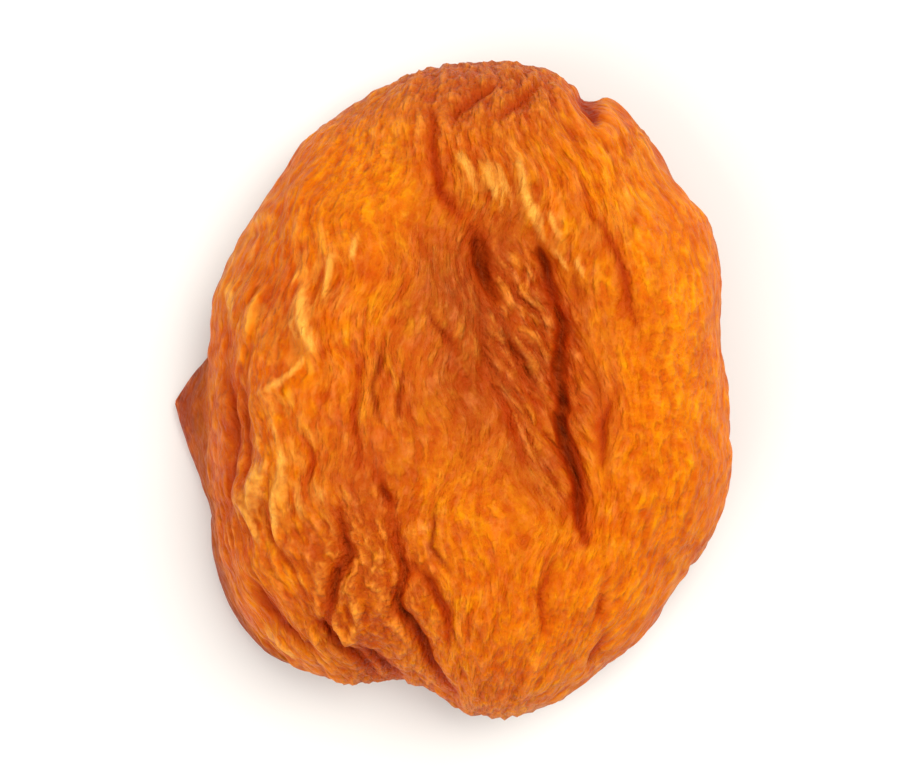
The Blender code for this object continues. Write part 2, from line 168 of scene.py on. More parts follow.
# Narrow pale strips where the skin's fibres stand up, in the same way
PALE_STRIPS = [
    (0.20, 0.25, 0.25, [(-0.4, 14.7), (-0.3, 13.6)]),
    (0.25, 0.22, 0.22, [(-0.1, 14.3), (0.2, 12.9), (0.6, 12.0)]),
    (0.25, 0.25, 0.25, [(1.1, 14.0), (1.4, 12.6), (1.7, 11.6)]),
    (0.25, 0.28, 0.28, [(1.9, 13.9), (2.1, 12.7), (2.5, 11.7)]),
    (0.30, 0.25, 0.25, [(3.0, 14.5), (3.3, 12.9), (3.4, 11.6)]),
    (0.25, 0.38, 0.38, [(3.7, 11.8), (4.2, 10.5), (4.7, 9.1)]),
    (0.20, 0.25, 0.25, [(4.8, 11.0), (5.7, 9.5)]),
    (0.20, 0.22, 0.22, [(5.3, 8.8), (6.1, 7.3)]),
    (0.15, 0.22, 0.22, [(6.5, 8.3), (7.2, 6.7)]),
    (0.30, 0.26, 0.26, [(-8.4, 8.2), (-8.5, 6.8), (-8.7, 5.6)]),
    (0.20, 0.24, 0.24, [(-6.7, 9.4), (-7.1, 7.8)]),
    (0.30, 0.34, 0.34, [(-10.2, 5.8), (-9.9, 4.2), (-9.4, 2.5)]),
    (0.20, 0.22, 0.22, [(-10.7, 4.3), (-10.4, 2.8)]),
    (0.20, 0.25, 0.25, [(-10.0, 2.1), (-10.5, 1.2), (-11.8, 0.4), (-12.9, -0.4)]),
    (0.20, 0.35, 0.35, [(-14.8, 6.6), (-14.9, 3.9)]),
    (0.35, 0.38, 0.38, [(-12.7, -4.5), (-13.0, -6.0), (-13.1, -7.4)]),
    (0.20, 0.25, 0.25, [(-14.3, -6.7), (-14.4, -8.1)]),
    (0.30, 0.30, 0.30, [(-13.7, -7.1), (-13.5, -8.5), (-12.9, -9.7)]),
    (0.25, 0.34, 0.34, [(-11.7, -2.6), (-11.5, -6.0), (-11.7, -9.6)]),
    (0.20, 0.28, 0.28, [(-10.4, -6.2), (-10.2, -8.2)]),
    (0.20, 0.30, 0.30, [(-9.2, -5.5), (-9.1, -7.0)]),
    (0.20, 0.30, 0.30, [(-12.9, -15.4), (-10.9, -17.3)]),
]

# Lines on the skin: their table, their sharpness, whether they rise or sink, the height in
# millimetres at which their mask is full, and the share of it that the mask leaves out. A sharpness
# of 2 is a round groove, 1 a pinched one.
SKIN_LINES = {
    "crease": (CREASES, 1.5, -1.0, 0.9, 0.0),
    "fine_crease": (FINE_CREASES, 1.7, -1.0, 0.3, 0.0),
    "ridge": (RIDGES, 1.7, 1.0, 0.5, 0.2),
    "strip": (PALE_STRIPS, 2.0, 1.0, 0.2, 0.0),
}
HOLLOW_SHARPNESS = 2.0
END_SHARPNESS = 0.6         # below 1 lines keep their depth longer before they fade at the ends
ROOF_SHARE = 0.85           # how much of the skin's hollows shows in the roof of the cup
NARROWING = 1.12            # folds meet at this many half lengths, beyond the stem end and the tip

# Soft patches of colour on the skin: strength, middle, reach along X and along Y, in millimetres
COLOUR_PATCHES = {
    "yellow": [
        (0.7, (-5.0, 13.0), 3.5, 5.0), (0.9, (13.0, 3.5), 3.5, 9.0), (0.5, (-1.0, -8.0), 3.5, 4.0),
        (0.6, (-11.5, -5.0), 1.3, 5.0), (0.5, (9.0, 14.0), 3.5, 3.5), (0.6, (-10.0, -16.0), 3.0, 2.0),
        (0.6, (6.0, -15.0), 4.5, 4.0), (0.6, (-1.8, -14.0), 1.6, 3.5), (0.5, (5.8, 9.0), 2.2, 3.5),
    ],
    "red": [
        (0.6, (1.3, -17.2), 1.4, 1.6), (0.6, (-10.5, 6.5), 3.0, 3.0), (0.4, (-12.0, 2.0), 3.0, 3.0),
        (0.6, (8.3, -1.0), 1.6, 3.5), (0.6, (-15.2, -4.0), 1.4, 8.0), (0.2, (5.5, -14.0), 2.5, 3.5),
        (0.6, (-2.0, 14.0), 1.2, 3.5), (0.4, (-5.5, -6.0), 2.5, 2.5), (0.3, (-6.5, -14.0), 3.0, 4.0),
        (0.7, (6.6, 2.6), 1.0, 4.0),
    ],
    "pink": [
        (1.0, (0.5, 19.5), 6.5, 3.4), (0.4, (-2.5, 6.0), 3.0, 6.0), (0.4, (-0.5, 0.0), 4.0, 4.5),
        (0.3, (2.5, -4.5), 3.0, 2.0), (0.5, (-7.0, -4.0), 2.5, 4.0), (0.5, (12.5, 15.0), 2.0, 3.0),
    ],
    "brown": [
        (0.9, (1.1, 6.6), 3.6, 5.0), (1.0, (3.2, 2.0), 3.6, 5.0), (0.5, (5.2, -4.5), 2.0, 4.0),
        (0.2, (-3.5, 0.0), 4.0, 8.0), (0.2, (-6.5, -10.0), 4.0, 6.0),
    ],
    "pale": [
        (0.9, (-11.5, -4.0), 2.6, 6.5), (0.8, (-9.5, 6.0), 2.4, 4.5), (0.9, (1.8, 13.2), 2.6, 2.0),
        (0.8, (-14.0, 8.0), 2.5, 6.0), (0.7, (6.0, 9.5), 2.0, 2.0), (0.4, (-8.5, -9.0), 1.6, 3.5),
        (0.5, (10.5, 10.5), 2.0, 5.0), (0.4, (-6.0, 16.0), 4.0, 3.5), (0.4, (-10.0, -17.0), 4.0, 1.5),
    ],
}

# In the same way, where the skin is crumpled and where it is smooth
CRUMPLED_PATCHES = [
    (1.0, (-6.5, -12.0), 4.5, 6.0), (0.5, (-14.0, -4.0), 3.0, 9.0), (0.5, (1.0, 18.0), 6.0, 3.5),
    (0.5, (2.5, 6.0), 4.0, 6.0),
]
SMOOTH_PATCHES = [
    (0.6, (0.5, -6.5), 3.5, 5.0), (0.8, (13.0, 2.0), 4.5, 10.0), (0.7, (-7.0, 13.0), 5.0, 5.0),
    (0.5, (7.0, -14.0), 5.0, 4.0),
]

# The strands of the skin: width across and how high they stand, in millimetres, and how much higher
# where the skin is crumpled
STRANDS = [(3.6, 0.50, 0.2), (1.8, 0.36, 0.3), (0.95, 0.32, 1.3), (0.6, 0.20, 1.3)]
PLAIN_RISE = 0.8            # how much of their height they have on plain skin
DRAPED_RISE = 0.8           # how much of the extra height they have where they hang into the hollow
SMOOTH_LOSS = 0.5           # how much of their height is lost where the skin is smooth
STRETCH = 2.6               # how much longer than wide the strands are
SIDE_STRETCH = 1.6          # the same down the sides of the half
MIDDLE_FOLD = 0.2           # the noise's mean height, which is taken off so that strands add no bulk
VALLEY = 0.22               # places lower than this lie in the valley between two strands
SHADED_VALLEYS = 1          # row of STRANDS whose valleys are darkened with painted shade
LUMPS_FROM = 1.5            # crumpled strands narrower than this break up into lumps, in millimetres
LUMP_STRETCH = 1.5          # how much longer than wide the lumps are
BREAK_UP = 0.5              # how far the strands break up
DRAPE = math.radians(-60.0)     # direction in which the strands in the hollow run
DRAPE_DEPTHS = (1.0 * MM, 2.2 * MM)     # the hollow's depth where they start to turn, and have turned

# The torn folds of the flesh on the cut side: width across and height in millimetres
FLESH_FOLDS = [(2.4, 0.50), (1.1, 0.32), (0.6, 0.16)]
FLESH_STRETCH = 2.0         # how much longer than wide they are

# Slow noise over the skin and in the cup: reach, width along X and along Y, place in the noise
SWELLS = (0.7 * MM, 7.0 * MM, 9.0 * MM, 3.0)
CUP_SWELLS = (0.9 * MM, 3.2 * MM, 3.2 * MM, 31.0)
WAVER_ACROSS = (0.45 * MM, 2.6 * MM, 2.6 * MM, 11.0)
WAVER_DOWN = (0.45 * MM, 2.6 * MM, 2.6 * MM, 17.0)
WARP = (1.3 * MM, 5.0 * MM, 5.0 * MM, 23.0)
WAVE = (0.25 * MM, 1.8 * MM, 2.4 * MM, 41.0)
TEAR = (0.6 * MM, 1.5 * MM, 1.5 * MM, 53.0)
TORN_SPOTS = (1.0, 4.0 * MM, 4.0 * MM, 61.0)

# How round the skin's grain is, from 0 to 1, besides BREAK_UP where it is crumpled
ROUND_PLAIN = 0.1
ROUND_SMOOTH = 0.6          # how much rounder where the skin is smooth
ROUND_DRAPED = 0.3          # how much less round in the hollow
ROUND_FLESH = 0.8           # how much rounder on the flesh

# How far a point stands out of its surroundings, or lies below them, to count a little and in full
FELT = (0.02 * MM, 0.12 * MM)
SURROUNDINGS = 3            # how many points each way its surroundings reach

# Colours painted over the orange of the skin: the mask that says where, how strongly, and which
PATCH_COLOURS = [("yellow", 0.8, "#fa8800"), ("red", 0.75, "#c83c00"), ("pink", 0.65, "#b84c18")]

# The grain that drying gives the skin, with the widths that it has on real skin, in millimetres
CLOUD_WIDTH = 1.5
PEBBLE_WIDTH = 0.4
STREAK_WIDTH = 0.6
FOLD_WIDTHS = (1.0, 0.55)
GRAIN_HEIGHT = 0.42 * MM    # how high the grain stands that the mesh is too coarse for

# What the colour is multiplied by where the grain is low, and where it is high; the pebble, streak
# and flesh tints follow the bump, so they are partly painted shade low and painted highlight high
CLOUD_TINTS = ((0.94, 0.86, 1.0), (1.0, 1.1, 1.1))
PEBBLE_TINTS = ((0.88, 0.70, 0.95), (1.04, 1.22, 1.35))
STREAK_TINTS = ((0.86, 0.70, 0.90), (1.03, 1.26, 1.6))
FLESH_TINTS = ((0.7, 0.6, 0.6), (1.3, 1.4, 1.4))

# Roughness where the skin is most and least glossy, and how much glossier the sticky flesh is
ROUGHNESS = (0.40, 0.60)
STICKY = 0.2
CLEARNESS = 0.6 * MM        # how far light goes into the flesh

# Fibres that the stone left along the edge of its cup
FIBRE_DENSITY = 3.5e5       # roots on each square metre of torn flesh
FIBRE_LENGTH = 6.0 * MM
FIBRE_SHORTEST = 0.35       # the shortest one's share of that length
FIBRE_THICKNESS = 0.11 * MM     # from the middle of a strand to its side
FIBRE_TIP = 0.3             # a tip's share of that thickness
FIBRE_DRIFT = 5.0 * MM      # how far a strand's end drifts off its curve
FIBRE_DRIFT_WIDTH = 2.5 * MM
FIBRE_CLEARANCE = 0.3 * MM  # how far every strand stays above the surface below
FIBRE_BEND = {"Start": (0.0, 0.0, -0.05), "Middle": (0.5, 0.1, 0.42), "End": (1.0, 0.45, -0.02)}
FIBRE_STEPS = 10
FIBRE_SIDES = 5
ROOT_SEED = 7
SPIN_SEED = 11
LENGTH_SEED = 13

# The studio: place and size of each light in metres, power in watts, colour
LIGHTS = {
    "key": ((0.30, 0.24, 0.56), 0.60, 4.7, "#fffaf2"),
    "fill": ((-0.50, -0.35, 0.50), 0.70, 3.8, "#fffaf2"),
}
SKY_STRENGTH = 0.50
FLOOR_REACH = 1.5
LENS = 100.0
SENSOR_WIDTH = 36.0
PICTURE = (900.0, 780.0)
FILLED = 0.86               # share of the picture's height that the half takes


def smooth_step(low, high, value):
    """0 up to low, 1 from high, and an even slope between them."""
    share = np.clip((value - low) / (high - low), 0.0, 1.0)
    return share * share * (3.0 - 2.0 * share)


def curve_through(places, values, at):
    """A smooth curve through values at rising places, read at other places."""
    slopes = np.gradient(values, places)
    index = np.clip(np.searchsorted(places, at) - 1, 0, len(places) - 2)
    span = places[index + 1] - places[index]
    share = (at - places[index]) / span
    rest = 1.0 - share
    start = values[index] * (1.0 + 2.0 * share) + slopes[index] * span * share
    end = values[index + 1] * (1.0 + 2.0 * rest) - slopes[index + 1] * span * rest
    return start * rest * rest + end * share * share


def outline_radius(angle):
    """How far the edge of the skin is from the middle, in each direction."""
    points = np.array(OUTLINE) * MM
    angles = np.arctan2(points[:, 1], points[:, 0])
    order = np.argsort(angles)
    angles = angles[order]
    radii = np.hypot(points[:, 0], points[:, 1])[order]
    turn = 2.0 * math.pi
    all_angles = np.concatenate((angles - turn, angles, angles + turn))
    return curve_through(all_angles, np.tile(radii, 3), angle)


def oval_radius(angle):
    """The same for the plain oval that the half grew as."""
    return 1.0 / np.hypot(np.cos(angle) / HALF_WIDTH, np.sin(angle) / HALF_LENGTH)


def profile_at(way):
    """Share of the radius, distance inside the outline and height at a share of the way."""
    table = np.array(PROFILE)
    share = curve_through(table[:, 0], table[:, 1], way)
    inside = curve_through(table[:, 0], table[:, 2], way) * MM
    height = curve_through(table[:, 0], table[:, 3], way) * HEIGHT
    return share, inside, height


def drawn_noise(x, y, z):
    """Smooth noise from -1 to 1 at each point, with hills about as wide as one unit."""
    z = np.broadcast_to(z, x.shape)
    return np.array([noise.noise(Vector(point)) for point in zip(x, y, z)])


def slow_noise(x, y, layer):
    """Noise as high and as wide as a layer says."""
    reach, across, down, place = layer
    return reach * drawn_noise(x / across, y / down, place)


def nearest_on_line(x, y, line):
    """How far each point is from a line, its side from -1 at the left to 1, and how far along it is."""
    points = np.array(line) * MM
    steps = np.diff(points, axis=0)
    lengths = np.hypot(steps[:, 0], steps[:, 1])
    runs = np.concatenate(([0.0], np.cumsum(lengths)))
    away = np.full(x.shape, np.inf)
    side = np.zeros(x.shape)
    along = np.zeros(x.shape)
    for point, step, length, run in zip(points, steps, lengths, runs):
        share = np.clip(((x - point[0]) * step[0] + (y - point[1]) * step[1]) / length ** 2, 0.0, 1.0)
        across_x = x - point[0] - share * step[0]
        across_y = y - point[1] - share * step[1]
        distance = np.hypot(across_x, across_y)
        nearer = distance < away
        away = np.where(nearer, distance, away)
        cross = (step[1] * across_x - step[0] * across_y) / (length * np.maximum(distance, 1e-9))
        side = np.where(nearer, cross, side)
        along = np.where(nearer, (run + share * length) / runs[-1], along)
    return away, side, along


def groove(x, y, depth, reach_left, reach_right, line, sharpness):
    """A groove along a line, deepest at its middle, with a reach of its own to each side."""
    spread = 4.0 * max(reach_left, reach_right)
    low = (np.min(line, axis=0) - spread) * MM
    high = (np.max(line, axis=0) + spread) * MM
    near = (x > low[0]) & (x < high[0]) & (y > low[1]) & (y < high[1])
    away, side, along = nearest_on_line(x[near], y[near], line)
    right = 0.5 + 0.5 * side
    reach = MM * (reach_left * (1.0 - right) + reach_right * right)
    fade = np.sin(math.pi * (along * 0.88 + 0.06)) ** END_SHARPNESS
    depths = np.zeros(x.shape)
    depths[near] = depth * MM * fade * np.exp(-((away / reach) ** sharpness))
    return depths


def sunk_form(x, y):
    """Height of the large form over the plain dome: the hollows and the slow swells between them."""
    height = -sum(groove(x, y, *hollow, HOLLOW_SHARPNESS) for hollow in HOLLOWS)
    return height + slow_noise(x, y, SWELLS)


def line_heights(x, y):
    """How high or deep each kind of line on the skin is, with lines that waver a little."""
    across = x + slow_noise(x, y, WAVER_ACROSS)
    down = y + slow_noise(x, y, WAVER_DOWN)
    heights = {}
    for name, (lines, sharpness, *_) in SKIN_LINES.items():
        heights[name] = sum(groove(across, down, *line, sharpness) for line in lines)
    return heights


def rim_wave(angle):
    """How far the rim is lifted off the surface: three low places lie flat, below 0."""
    return RIM_LIFT * (0.5 - 0.5 * np.cos(3.0 * (angle - FIRST_LOW_PLACE))) - RIM_SINK


def flap_share(angle):
    """How far the rim turns outward, in each direction: a pointed flap at the left, a lip below it."""
    turned = np.degrees(angle) % 360.0
    rise = np.clip((turned - FLAP_START) / (FLAP_POINT - FLAP_START), 0.0, 1.0) ** FLAP_SHARPNESS
    fall = np.clip((FLAP_END - turned) / (FLAP_END - FLAP_POINT), 0.0, 1.0) ** FLAP_SHARPNESS
    lip = LIP_SHARE * smooth_step(*LIP[:2], turned) * (1.0 - smooth_step(*LIP[2:], turned))
    return np.maximum(np.minimum(rise, fall), lip)


def place_points(directions):
    """Lay points of the unit sphere on the half, without creases and wrinkles."""
    angle = np.arctan2(directions[:, 1], directions[:, 0])
    way = np.arccos(np.clip(directions[:, 2], -1.0, 1.0)) / math.pi
    share, inside, height = profile_at(way)
    edge = smooth_step(0.3, 0.95, share)
    radius = oval_radius(angle) * (1.0 - edge) + outline_radius(angle) * edge
    rim = smooth_step(WIDEST - 0.08, CONTACT, way) * (1.0 - smooth_step(CONTACT, CUP_EDGE, way))
    flap = smooth_step(WIDEST - 0.02, CONTACT - 0.04, way) * (1.0 - smooth_step(CONTACT, CUP_EDGE, way))
    flap *= flap_share(angle)
    radius = radius * share - inside * (1.0 - flap) + FLAP_REACH * flap
    x = radius * np.cos(angle)
    y = radius * np.sin(angle)
    on_skin = 1.0 - smooth_step(WIDEST - 0.12, WIDEST + 0.04, way)
    in_cup = smooth_step(CUP_EDGE, CUP_EDGE + 0.12, way)
    z = height + (on_skin + ROOF_SHARE * in_cup) * sunk_form(x, y) + rim * rim_wave(angle)
    return np.column_stack((x, y, z)), way, angle


def meridian_places(x, y):
    """Places measured across the lines that run from the stem end to the tip."""
    reach = np.sqrt(np.clip(1.0 - (y / (NARROWING * HALF_LENGTH)) ** 2, 0.05, 1.0))
    return x / reach + slow_noise(x, y, WARP)


def strand_places(x, y):
    """Places across and along the skin's strands, and the same for those that hang into the hollow."""
    wave = slow_noise(x, y, WAVE)
    turn = DRAPE + math.pi / 2.0
    plain = (meridian_places(x, y) + wave, y / STRETCH)
    turned = (
        math.cos(turn) * x + math.sin(turn) * y + wave,
        (math.cos(DRAPE) * x + math.sin(DRAPE) * y) / STRETCH,
    )
    return plain, turned


def strands(places, plain, turned, skin):
    """Height of the skin's strands, and for each width how deep its valleys lie, from 0 to 1."""
    x, y, z = places
    height = np.zeros(z.shape)
    valleys = []
    broken = BREAK_UP * skin["crumpled"]
    for size, rise, extra in STRANDS:
        width = size * MM
        on_dome = drawn_noise(plain[0] / width, plain[1] / width, z / (SIDE_STRETCH * width))
        in_hollow = drawn_noise(turned[0] / width, turned[1] / width, 5.0)
        if size < LUMPS_FROM:
            lumps = drawn_noise(x / width, y / (LUMP_STRETCH * width), z / width)
            on_dome = on_dome * (1.0 - broken) + lumps * broken
        fold = np.abs(on_dome * (1.0 - skin["draped"]) + in_hollow * skin["draped"])
        share = PLAIN_RISE + extra * (skin["crumpled"] + DRAPED_RISE * skin["draped"])
        share -= SMOOTH_LOSS * skin["smooth"]
        height += share * rise * MM * (fold - MIDDLE_FOLD)
        valleys.append(1.0 - smooth_step(0.0, VALLEY, fold))
    return height, valleys


def flesh_folds(x, y, z):
    """Height of the torn folds of the flesh, drawn out from the stem end to the tip."""
    across = x + slow_noise(x, y, TEAR)
    down = y / FLESH_STRETCH
    height = np.zeros(x.shape)
    for size, rise in FLESH_FOLDS:
        width = size * MM
        fold = np.abs(drawn_noise(across / width, down / width, z / width))
        height += rise * MM * (fold - MIDDLE_FOLD)
    return height


def set_points(mesh, points):
    """Move the mesh's points and work out its normals again."""
    for vertex, point in zip(mesh.verts, points):
        vertex.co = point
    mesh.normal_update()


def normals_of(mesh):
    """The direction that each point of the mesh faces."""
    return np.array([vertex.normal for vertex in mesh.verts])


def blown_cube():
    """A cube divided evenly and blown up to a sphere, with points in the middle of top and bottom."""
    mesh = bmesh.new()
    bmesh.ops.create_cube(mesh, size=2.0)
    bmesh.ops.subdivide_edges(mesh, edges=mesh.edges[:], cuts=GRID - 1, use_grid_fill=True)
    corners = np.array([vertex.co for vertex in mesh.verts])
    directions = np.tan(corners * math.pi / 4.0)
    directions /= np.linalg.norm(directions, axis=1)[:, None]
    return mesh, directions


def patches(x, y, places):
    """Soft patches added up, each fading out from its middle."""
    total = np.zeros(x.shape)
    for strength, middle, reach_x, reach_y in places:
        across = (x - middle[0] * MM) / (reach_x * MM)
        down = (y - middle[1] * MM) / (reach_y * MM)
        total += strength * np.exp(-(across ** 2 + down ** 2))
    return np.clip(total, 0.0, 1.0)


def raised_over_neighbours(mesh, reach):
    """How far each point stands out of the surface round it, evened out over so many points each way."""
    points = np.array([vertex.co for vertex in mesh.verts])
    ends = np.array([[vertex.index for vertex in edge.verts] for edge in mesh.edges]).T
    starts, stops = np.concatenate((ends, ends[::-1]), axis=1)
    count = np.bincount(starts, minlength=len(points))
    even = points
    for _ in range(reach ** 2):
        sums = [np.bincount(starts, weights=even[stops, axis], minlength=len(points)) for axis in range(3)]
        even = np.column_stack(sums) / count[:, None]
    return np.sum((points - even) * normals_of(mesh), axis=1)


def fill_solids_box(points):
    """The points stretched by a hair, so that they fill the solid's box."""
    low, high = (np.array(corner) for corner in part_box("apricot_half"))
    share = (points - points.min(axis=0)) / np.ptp(points, axis=0)
    return low + share * (high - low)


def skin_masks(x, y, on_skin, skin, lines):
    """Masks for the skin's lines and patches."""
    masks = {name: patches(x, y, places) * on_skin for name, places in COLOUR_PATCHES.items()}
    for name, (_, _, _, full, start) in SKIN_LINES.items():
        masks[name] = np.clip(lines[name] / (full * MM) - start, 0.0, 1.0) * on_skin
    masks["crumpled"] = np.clip(0.25 + skin["crumpled"] - 0.2 * skin["smooth"], 0.0, 1.0) * on_skin
    masks["draped"] = skin["draped"]
    return masks


def rim_and_cup_masks(x, y, way, angle):
    """Masks for the rim, the flap and the cut side."""
    torn = smooth_step(CUP_EDGE - 0.03, CUP_EDGE + 0.01, way)
    torn *= 1.0 - 0.85 * smooth_step(CUP_EDGE + 0.04, CUP_EDGE + 0.10, way)
    return {
        # under: where the skin turns under, darkened with painted shade
        "under": smooth_step(WIDEST - 0.04, WIDEST + 0.06, way),
        "flap": flap_share(angle) * smooth_step(WIDEST - 0.01, CONTACT - 0.05, way),
        "cup": smooth_step(CUP_EDGE + 0.02, CUP_EDGE + 0.09, way),
        "torn": torn * smooth_step(-0.1, 0.3, slow_noise(x, y, TORN_SPOTS)),
    }


def make_half():
    """The half as one fine mesh, with the masks and the places that its material reads."""
    mesh, directions = blown_cube()
    points, way, angle = place_points(directions)
    set_points(mesh, points)
    x, y, z = points.T
    on_skin = 1.0 - smooth_step(WIDEST, CONTACT - 0.02, way)
    flesh = smooth_step(CONTACT - 0.01, CONTACT + 0.03, way)
    in_cup = smooth_step(CUP_EDGE, CUP_EDGE + 0.08, way)
    hollow = sum(groove(x, y, *line, HOLLOW_SHARPNESS) for line in HOLLOWS)
    skin = {
        "draped": smooth_step(*DRAPE_DEPTHS, hollow),
        "crumpled": patches(x, y, CRUMPLED_PATCHES),
        "smooth": patches(x, y, SMOOTH_PATCHES),
    }

    plain, turned = strand_places(x, y)
    relief, valleys = strands((x, y, z), plain, turned, skin)
    lines = line_heights(x, y)
    for name, (_, _, rises, *_) in SKIN_LINES.items():
        relief += rises * lines[name]
    relief = on_skin * relief + in_cup * slow_noise(x, y, CUP_SWELLS) + flesh * flesh_folds(x, y, z)
    points = points + normals_of(mesh) * relief[:, None]
    points[:, 2] = np.maximum(points[:, 2], 0.0)
    set_points(mesh, fill_solids_box(points))

    raised = raised_over_neighbours(mesh, SURROUNDINGS)
    lumpy = ROUND_PLAIN + BREAK_UP * skin["crumpled"] + ROUND_SMOOTH * skin["smooth"]
    lumpy += ROUND_FLESH * flesh - ROUND_DRAPED * skin["draped"]
    # raised and sunk place the painted highlight on high points and the painted shade in low ones; raised
    # also strengthens the pale strands
    masks = {
        "raised": smooth_step(*FELT, raised),
        "sunk": smooth_step(*FELT, -raised),
        "valley": valleys[SHADED_VALLEYS],
        "lumpy": np.clip(lumpy, 0.0, 1.0),
        "flesh": flesh,
    }
    masks.update(skin_masks(x, y, on_skin, skin, lines))
    masks.update(rim_and_cup_masks(x, y, way, angle))
    depth = z / SIDE_STRETCH
    return mesh, masks, {"plain_strands": (*plain, depth), "turned_strands": (*turned, depth)}


def srgb(code):
    """A hex colour as Blender's linear colour."""
    channels = [int(code[place:place + 2], 16) / 255.0 for place in (1, 3, 5)]
    linear = [c / 12.92 if c <= 0.04045 else ((c + 0.055) / 1.055) ** 2.4 for c in channels]
    return (*linear, 1.0)


def add_node(tree, kind, links=None, **settings):
    """Add a node with its settings; links gives each input a value or another node's output."""
    node = tree.nodes.new(kind)
    for name, value in settings.items():
        setattr(node, name, value)
    for place, value in (links or {}).items():
        if isinstance(value, bpy.types.NodeSocket):
            tree.links.new(value, node.inputs[place])
        else:
            node.inputs[place].default_value = value
    return node


class Paint:
    """A new material, with short names for its nodes. What its sums and products give stays in 0 to 1."""

    def __init__(self, name):
        self.material = bpy.data.materials.new(name)
        self.material.use_nodes = True
        self.tree = self.material.node_tree
        self.shader = self.tree.nodes["Principled BSDF"]
        self.place = add_node(self.tree, "ShaderNodeTexCoord").outputs["Object"]

    def mask(self, name):
        """A mask that was worked out with the shape."""
        return add_node(self.tree, "ShaderNodeAttribute", attribute_name=name).outputs["Fac"]

    def math_of(self, operation, first, second):
        settings = {"operation": operation, "use_clamp": True}
        return add_node(self.tree, "ShaderNodeMath", {0: first, 1: second}, **settings).outputs[0]

    def times(self, first, second):
        return self.math_of("MULTIPLY", first, second)

    def plus(self, first, second):
        return self.math_of("ADD", first, second)

    def minus(self, first, second):
        return self.math_of("SUBTRACT", first, second)

    def greater(self, first, second):
        return self.math_of("MAXIMUM", first, second)

    def spread(self, value, low, high, **settings):
        """The value spread so that low becomes 0 and high becomes 1."""
        ends = {"Value": value, "From Min": low, "From Max": high}
        return add_node(self.tree, "ShaderNodeMapRange", ends, **settings).outputs["Result"]

    def mix(self, factor, below, above):
        links = {0: factor, 6: below, 7: above}
        return add_node(self.tree, "ShaderNodeMix", links, data_type="RGBA").outputs[2]

    def over(self, colour, factor, code):
        """One colour painted over another as strongly as the factor says."""
        return self.mix(factor, colour, srgb(code))

    def tinted(self, texture, colour, low_tint, high_tint):
        """The colour times a tint that follows the texture, redder where it is low, yellower where high."""
        links = {0: 1.0, 6: colour, 7: self.mix(texture, (*low_tint, 1.0), (*high_tint, 1.0))}
        settings = {"data_type": "RGBA", "blend_type": "MULTIPLY"}
        return add_node(self.tree, "ShaderNodeMix", links, **settings).outputs[2]

    def noise_at(self, place, size_mm, detail):
        """Noise with spots about this wide."""
        links = {"Vector": place, "Scale": 1.0 / (size_mm * MM), "Detail": detail}
        return add_node(self.tree, "ShaderNodeTexNoise", links).outputs["Fac"]

    def speckle(self, size_mm, detail, low, high):
        """Round spots of a size in millimetres, 0 where the noise is low and 1 where it is high."""
        return self.spread(self.noise_at(self.place, size_mm, detail), low, high)

    def drawn_out(self, size_mm, detail):
        """Noise along the strands, turned with those in the hollow and rounder where the skin is lumpy."""
        drawn = []
        for name in ("plain_strands", "turned_strands"):
            along = add_node(self.tree, "ShaderNodeAttribute", attribute_name=name).outputs["Vector"]
            drawn.append(self.noise_at(along, size_mm, detail))
        flowing = {0: self.mask("draped"), 2: drawn[0], 3: drawn[1]}
        flowing = add_node(self.tree, "ShaderNodeMix", flowing).outputs[0]
        lumps = {0: self.mask("lumpy"), 2: flowing, 3: self.noise_at(self.place, size_mm, detail)}
        return add_node(self.tree, "ShaderNodeMix", lumps).outputs[0]

    def streaks(self, size_mm, detail, low, high):
        """The same spots drawn out along the strands."""
        return self.spread(self.drawn_out(size_mm, detail), low, high)

    def crinkles(self, size_mm, width):
        """Rounded backs, 1 at their tops, that meet in pinched valleys where the noise is at its middle."""
        links = {0: self.drawn_out(size_mm, 1.0), 1: 0.5}
        level = add_node(self.tree, "ShaderNodeMath", links, operation="SUBTRACT").outputs[0]
        away = add_node(self.tree, "ShaderNodeMath", {0: level}, operation="ABSOLUTE").outputs[0]
        return self.spread(away, 0.0, width, interpolation_type="SMOOTHSTEP")


def ripe_colour(paint):
    """Orange skin with yellow and red cheeks, and brown where it has sunk over the stone."""
    colour = paint.mix(paint.speckle(2.6, 3.0, 0.35, 0.65), srgb("#e66c00"), srgb("#f07c00"))
    for name, strength, code in PATCH_COLOURS:
        colour = paint.over(colour, paint.times(paint.mask(name), strength), code)
    brown = paint.times(paint.mask("brown"), paint.streaks(1.6, 2.0, 0.2, 0.6))
    return paint.over(colour, paint.times(brown, 0.95), "#8c3e10")


def with_grain(paint, colour, pebbles, streaked):
    """The grain that drying gives the skin: soft clouds, then pebbles, then streaks; pebbles and streaks
    follow the bump, so they also add painted shade low and painted highlight high.
    """
    colour = paint.tinted(paint.speckle(CLOUD_WIDTH, 1.0, 0.35, 0.65), colour, *CLOUD_TINTS)
    colour = paint.tinted(pebbles, colour, *PEBBLE_TINTS)
    return paint.tinted(streaked, colour, *STREAK_TINTS)


